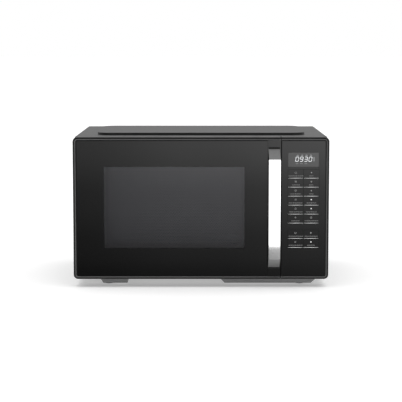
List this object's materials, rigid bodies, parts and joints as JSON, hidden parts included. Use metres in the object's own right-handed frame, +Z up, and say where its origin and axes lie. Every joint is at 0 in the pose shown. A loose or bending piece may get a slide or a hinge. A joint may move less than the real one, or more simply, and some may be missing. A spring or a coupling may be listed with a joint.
{
  "type": "microwave oven",
  "caption": "Black countertop microwave oven with a side-hinged glass door, chrome bow handle, push-key control panel with a digital display, and a rotating glass tray.",
  "frame": {"origin": "on the surface the oven stands on, under the middle of its bounding box", "axes": "+X to the right of someone facing the door, +Y from the door to the rear panel, +Z up"},
  "size_m": [0.483, 0.4, 0.2899],
  "materials": {
    "cabinet_paint": "fine-textured satin black powder coat",
    "galvanised_steel": "galvanised sheet",
    "cavity_enamel": "satin grey enamel",
    "foot_plastic": "matte",
    "screw_steel": "zinc plated",
    "dark_plastic": "matte moulded",
    "white_plastic": "matte moulded",
    "mica": "pressed mica sheet",
    "copper": "copper",
    "core_steel": "laminated, varnished",
    "bare_aluminium": "drawn can",
    "lamp": "clear bulb in a light plastic holder",
    "front_plastic": "satin black moulded plastic",
    "panel_gloss": "high gloss black",
    "key_gloss": "high gloss black with printed grey marks",
    "display_lens": "smoked lens",
    "circuit_board": "solder mask",
    "door_glass": "black-printed tempered glass with a tinted window",
    "door_steel": "satin paint",
    "screen_steel": "perforated, satin paint",
    "clear_film": "clear film",
    "chrome_trim": "polished",
    "tray_glass": "clear pressed glass"
  },
  "bodies": {
    "cabinet": {"outer_cover": "cabinet_paint", "rear_panel": "cabinet_paint", "base_plate": "galvanised_steel", "front_plate": "cabinet_paint", "cavity_liner": "cavity_enamel", "feet": "foot_plastic", "cover_screws": "screw_steel", "rear_spacers": "dark_plastic", "cord_gland": "dark_plastic", "waveguide": "galvanised_steel", "waveguide_cover": "mica", "magnetron_yoke": "galvanised_steel", "magnetron_anode": "copper", "transformer_core": "core_steel", "transformer_windings": "copper", "hv_capacitor": "bare_aluminium", "fan_shroud": "dark_plastic", "fan_motor": "core_steel", "turntable_motor": "galvanised_steel", "cavity_lamp": "lamp", "interlock_bracket": "white_plastic", "microswitches": "dark_plastic", "panel_housing": "front_plastic", "panel_fascia": "panel_gloss", "display_window": "display_lens", "control_board": "circuit_board", "door_hinges": "galvanised_steel"},
    "door": {"door_frame": "front_plastic", "door_glass": "door_glass", "door_plate": "door_steel", "door_screen": "screen_steel", "choke_cover": "dark_plastic", "inner_window": "clear_film", "handle_body": "front_plastic", "handle_trim": "chrome_trim", "latch_spring": "screw_steel"},
    "latch": {"latch_hooks": "white_plastic"},
    "turntable_drive": {"drive_coupler": "white_plastic"},
    "tray": {"glass_tray": "tray_glass"},
    "rollers_frame": {"roller_ring": "white_plastic"},
    "roller_a": {"roller_1": "white_plastic"},
    "roller_b": {"roller_2": "white_plastic"},
    "roller_c": {"roller_3": "white_plastic"},
    "fan": {"fan_blade": "white_plastic"},
    "key_left_1_cap": {"key_left_1": "key_gloss"},
    "key_left_2_cap": {"key_left_2": "key_gloss"},
    "key_left_3_cap": {"key_left_3": "key_gloss"},
    "key_left_4_cap": {"key_left_4": "key_gloss"},
    "key_left_5_cap": {"key_left_5": "key_gloss"},
    "key_left_6_cap": {"key_left_6": "key_gloss"},
    "key_left_7_cap": {"key_left_7": "key_gloss"},
    "key_left_8_cap": {"key_left_8": "key_gloss"},
    "key_right_1_cap": {"key_right_1": "key_gloss"},
    "key_right_2_cap": {"key_right_2": "key_gloss"},
    "key_right_3_cap": {"key_right_3": "key_gloss"},
    "key_right_4_cap": {"key_right_4": "key_gloss"},
    "key_right_5_cap": {"key_right_5": "key_gloss"},
    "key_right_6_cap": {"key_right_6": "key_gloss"},
    "key_right_7_cap": {"key_right_7": "key_gloss"},
    "key_right_8_cap": {"key_right_8": "key_gloss"}
  },
  "joints": [
    {"name": "door_hinge", "type": "hinge", "parent": "cabinet", "child": "door", "pos_m": [-0.234, -0.157, 0.15], "axis": [0, 0, -1], "range_deg": [0, 100]},
    {"name": "latch_lift", "type": "slide", "parent": "door", "child": "latch", "axis": [0, 0, 1], "range_m": [0, 0.005], "stiffness_N_per_m": 300, "springref_m": -0.004, "deforming": ["latch_spring"]},
    {"name": "turntable_spin", "type": "hinge", "parent": "cabinet", "child": "turntable_drive", "pos_m": [-0.048, 0.016, 0.04], "axis": [0, 0, 1], "continuous": true},
    {"name": "tray_lift", "type": "slide", "parent": "turntable_drive", "child": "tray", "axis": [0, 0, 1], "range_m": [0, 0.03]},
    {"name": "roller_ring_spin", "type": "hinge", "parent": "cabinet", "child": "rollers_frame", "pos_m": [-0.048, 0.016, 0.0455], "axis": [0, 0, 1], "continuous": true},
    {"name": "fan_spin", "type": "hinge", "parent": "cabinet", "child": "fan", "pos_m": [0.176, 0.163, 0.208], "axis": [0, 1, 0], "continuous": true},
    {"name": "roller_1_spin", "type": "hinge", "parent": "rollers_frame", "child": "roller_a", "pos_m": [0.036, 0.0645, 0.0455], "axis": [0.866, 0.5, 0], "continuous": true},
    {"name": "roller_2_spin", "type": "hinge", "parent": "rollers_frame", "child": "roller_b", "pos_m": [-0.132, 0.0645, 0.0455], "axis": [-0.866, 0.5, 0], "continuous": true},
    {"name": "roller_3_spin", "type": "hinge", "parent": "rollers_frame", "child": "roller_c", "pos_m": [-0.048, -0.081, 0.0455], "axis": [0, -1, 0], "continuous": true},
    {"name": "key_left_1_press", "type": "slide", "parent": "cabinet", "child": "key_left_1_cap", "axis": [0, 1, 0], "range_m": [0, 0.0005], "stiffness_N_per_m": 2000, "springref_m": -0.0002},
    {"name": "key_left_2_press", "type": "slide", "parent": "cabinet", "child": "key_left_2_cap", "axis": [0, 1, 0], "range_m": [0, 0.0005], "stiffness_N_per_m": 2000, "springref_m": -0.0002},
    {"name": "key_left_3_press", "type": "slide", "parent": "cabinet", "child": "key_left_3_cap", "axis": [0, 1, 0], "range_m": [0, 0.0005], "stiffness_N_per_m": 2000, "springref_m": -0.0002},
    {"name": "key_left_4_press", "type": "slide", "parent": "cabinet", "child": "key_left_4_cap", "axis": [0, 1, 0], "range_m": [0, 0.0005], "stiffness_N_per_m": 2000, "springref_m": -0.0002},
    {"name": "key_left_5_press", "type": "slide", "parent": "cabinet", "child": "key_left_5_cap", "axis": [0, 1, 0], "range_m": [0, 0.0005], "stiffness_N_per_m": 2000, "springref_m": -0.0002},
    {"name": "key_left_6_press", "type": "slide", "parent": "cabinet", "child": "key_left_6_cap", "axis": [0, 1, 0], "range_m": [0, 0.0005], "stiffness_N_per_m": 2000, "springref_m": -0.0002},
    {"name": "key_left_7_press", "type": "slide", "parent": "cabinet", "child": "key_left_7_cap", "axis": [0, 1, 0], "range_m": [0, 0.0005], "stiffness_N_per_m": 2000, "springref_m": -0.0002},
    {"name": "key_left_8_press", "type": "slide", "parent": "cabinet", "child": "key_left_8_cap", "axis": [0, 1, 0], "range_m": [0, 0.0005], "stiffness_N_per_m": 2000, "springref_m": -0.0002},
    {"name": "key_right_1_press", "type": "slide", "parent": "cabinet", "child": "key_right_1_cap", "axis": [0, 1, 0], "range_m": [0, 0.0005], "stiffness_N_per_m": 2000, "springref_m": -0.0002},
    {"name": "key_right_2_press", "type": "slide", "parent": "cabinet", "child": "key_right_2_cap", "axis": [0, 1, 0], "range_m": [0, 0.0005], "stiffness_N_per_m": 2000, "springref_m": -0.0002},
    {"name": "key_right_3_press", "type": "slide", "parent": "cabinet", "child": "key_right_3_cap", "axis": [0, 1, 0], "range_m": [0, 0.0005], "stiffness_N_per_m": 2000, "springref_m": -0.0002},
    {"name": "key_right_4_press", "type": "slide", "parent": "cabinet", "child": "key_right_4_cap", "axis": [0, 1, 0], "range_m": [0, 0.0005], "stiffness_N_per_m": 2000, "springref_m": -0.0002},
    {"name": "key_right_5_press", "type": "slide", "parent": "cabinet", "child": "key_right_5_cap", "axis": [0, 1, 0], "range_m": [0, 0.0005], "stiffness_N_per_m": 2000, "springref_m": -0.0002},
    {"name": "key_right_6_press", "type": "slide", "parent": "cabinet", "child": "key_right_6_cap", "axis": [0, 1, 0], "range_m": [0, 0.0005], "stiffness_N_per_m": 2000, "springref_m": -0.0002},
    {"name": "key_right_7_press", "type": "slide", "parent": "cabinet", "child": "key_right_7_cap", "axis": [0, 1, 0], "range_m": [0, 0.0005], "stiffness_N_per_m": 2000, "springref_m": -0.0002},
    {"name": "key_right_8_press", "type": "slide", "parent": "cabinet", "child": "key_right_8_cap", "axis": [0, 1, 0], "range_m": [0, 0.0005], "stiffness_N_per_m": 2000, "springref_m": -0.0002}
  ],
  "couplings": [
    {"joint": "roller_ring_spin", "follows": "turntable_spin", "ratio": 0.5},
    {"joint": "roller_1_spin", "follows": "turntable_spin", "ratio": -6.2987},
    {"joint": "roller_2_spin", "follows": "turntable_spin", "ratio": -6.2987},
    {"joint": "roller_3_spin", "follows": "turntable_spin", "ratio": -6.2987}
  ]
}
